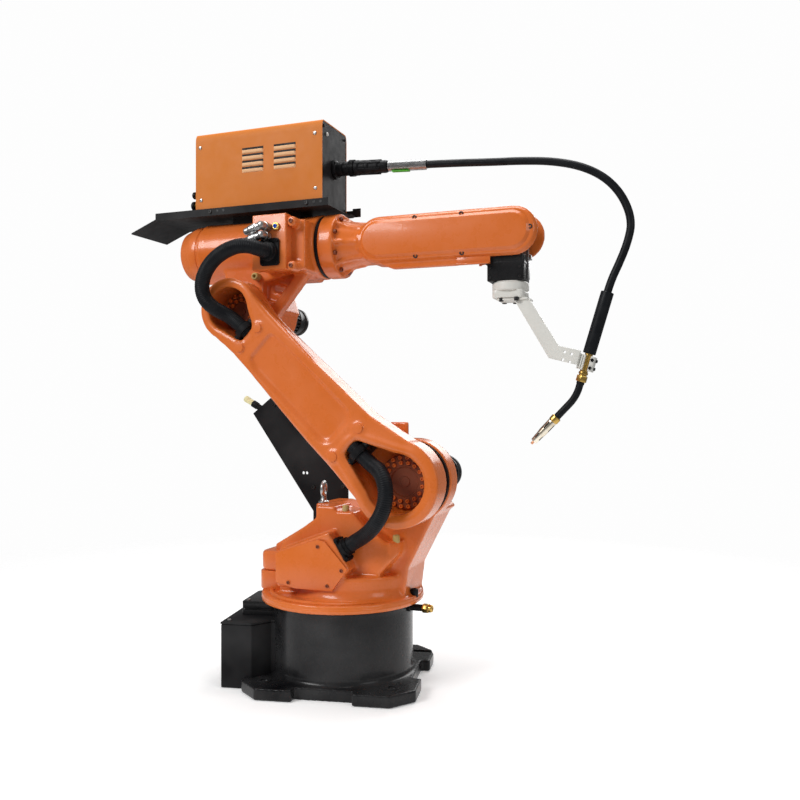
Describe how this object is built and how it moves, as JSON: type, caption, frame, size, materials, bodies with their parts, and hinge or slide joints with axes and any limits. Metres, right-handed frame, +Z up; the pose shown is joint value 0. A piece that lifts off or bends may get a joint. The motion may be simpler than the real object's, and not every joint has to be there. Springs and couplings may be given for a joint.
{
  "type": "industrial robot arm",
  "caption": "Articulated factory arm on a round bolted base, with a wire feeder on its elbow and a welding torch on its wrist.",
  "frame": {"origin": "on the first (vertical) axis, on the floor, at the centre of the base's bottom face", "axes": "+Z up along the first axis; +X along the forearm, away from the base; -Y is the side of the lower arm. The base stands turned 10.5 degrees about +Z"},
  "size_m": [1.2634, 0.4596, 1.3475],
  "materials": {
    "orange_casting": "satin orange enamel on castings",
    "feeder_paint": "orange powder coat",
    "black_paint": "satin black enamel",
    "black_plastic": "matt black plastic",
    "black_rubber": "matt black rubber",
    "bumper_rubber": "ochre rubber",
    "gear_steel": "dark orange paint on steel",
    "zinc_steel": "bright zinc",
    "brass": "bright brass",
    "copper": "bright copper",
    "white_metal": "off-white enamel",
    "pale_plug": "pale plastic",
    "blue_plastic": "blue plastic"
  },
  "bodies": {
    "base": {"base_casting": "black_paint", "base_connector_box": "black_paint", "base_terminal_block": "black_paint", "base_stop_fitting": "brass"},
    "turret": {"turret_casting": "orange_casting", "turret_cable_cover": "orange_casting", "turret_hose_gland": "black_plastic", "turret_motor_cover": "orange_casting", "lifting_eye": "zinc_steel", "shoulder_reducer_ring": "black_rubber", "shoulder_motor": "black_paint", "rear_panel": "black_paint", "panel_plug": "pale_plug", "stop_bumpers": "bumper_rubber"},
    "lower_arm": {"lower_arm_link": "orange_casting", "shoulder_gear_disc": "gear_steel", "elbow_gear_disc": "gear_steel", "lower_hose_clamp": "black_plastic", "upper_hose_clamp": "black_plastic", "lower_hose": "black_plastic", "upper_hose": "black_plastic"},
    "elbow": {"elbow_casting": "orange_casting", "roll_motor_cover": "orange_casting", "cable_entry_box": "orange_casting", "elbow_hose_gland": "black_plastic", "elbow_connectors": "zinc_steel", "air_port": "blue_plastic", "elbow_bumper": "bumper_rubber", "roll_seal_ring": "black_rubber", "elbow_motor": "black_paint", "feeder_tray": "black_paint", "feeder_housing": "black_paint", "feeder_cover": "feeder_paint", "feeder_inlets": "brass", "torch_socket": "black_plastic", "torch_plug": "black_plastic", "cable_spring": "zinc_steel", "torch_cable_rear": "black_rubber"},
    "forearm": {"forearm_casting": "orange_casting", "forearm_cover_near": "orange_casting", "forearm_cover_far": "orange_casting", "torch_cable_middle": "black_rubber"},
    "wrist": {"wrist_housing": "black_paint", "torch_cable_front": "black_rubber"},
    "tool": {"torch_flange_adapter": "white_metal", "torch_bracket": "white_metal", "torch_clamp": "white_metal", "torch_sleeve": "black_rubber", "torch_body": "brass", "swan_neck": "black_rubber", "gas_nozzle": "brass", "contact_tip": "copper"}
  },
  "joints": [
    {"name": "base_turn", "type": "hinge", "parent": "base", "child": "turret", "pos_m": [0, 0, 0.2], "axis": [0, 0, 1], "range_deg": [-160, 180]},
    {"name": "shoulder_pitch", "type": "hinge", "parent": "turret", "child": "lower_arm", "pos_m": [0.195, 0, 0.49], "axis": [0, 1, 0], "range_deg": [-28, 98], "deforming": ["lower_hose"]},
    {"name": "elbow_pitch", "type": "hinge", "parent": "lower_arm", "child": "elbow", "pos_m": [-0.22862, 0, 0.892], "axis": [0, -1, 0], "range_deg": [-25, 110], "deforming": ["upper_hose"]},
    {"name": "forearm_roll", "type": "hinge", "parent": "elbow", "child": "forearm", "pos_m": [0, 0, 1.053], "axis": [1, 0, 0], "range_deg": [-150, 150], "deforming": ["torch_cable_rear"]},
    {"name": "wrist_pitch", "type": "hinge", "parent": "forearm", "child": "wrist", "pos_m": [0.418, 0, 1.053], "axis": [0, 1, 0], "range_deg": [-140, 25], "deforming": ["torch_cable_middle"]},
    {"name": "tool_turn", "type": "hinge", "parent": "wrist", "child": "tool", "pos_m": [0.418, 0, 0.944], "axis": [0, 0, -1], "range_deg": [-150, 150], "deforming": ["torch_cable_front"]}
  ]
}
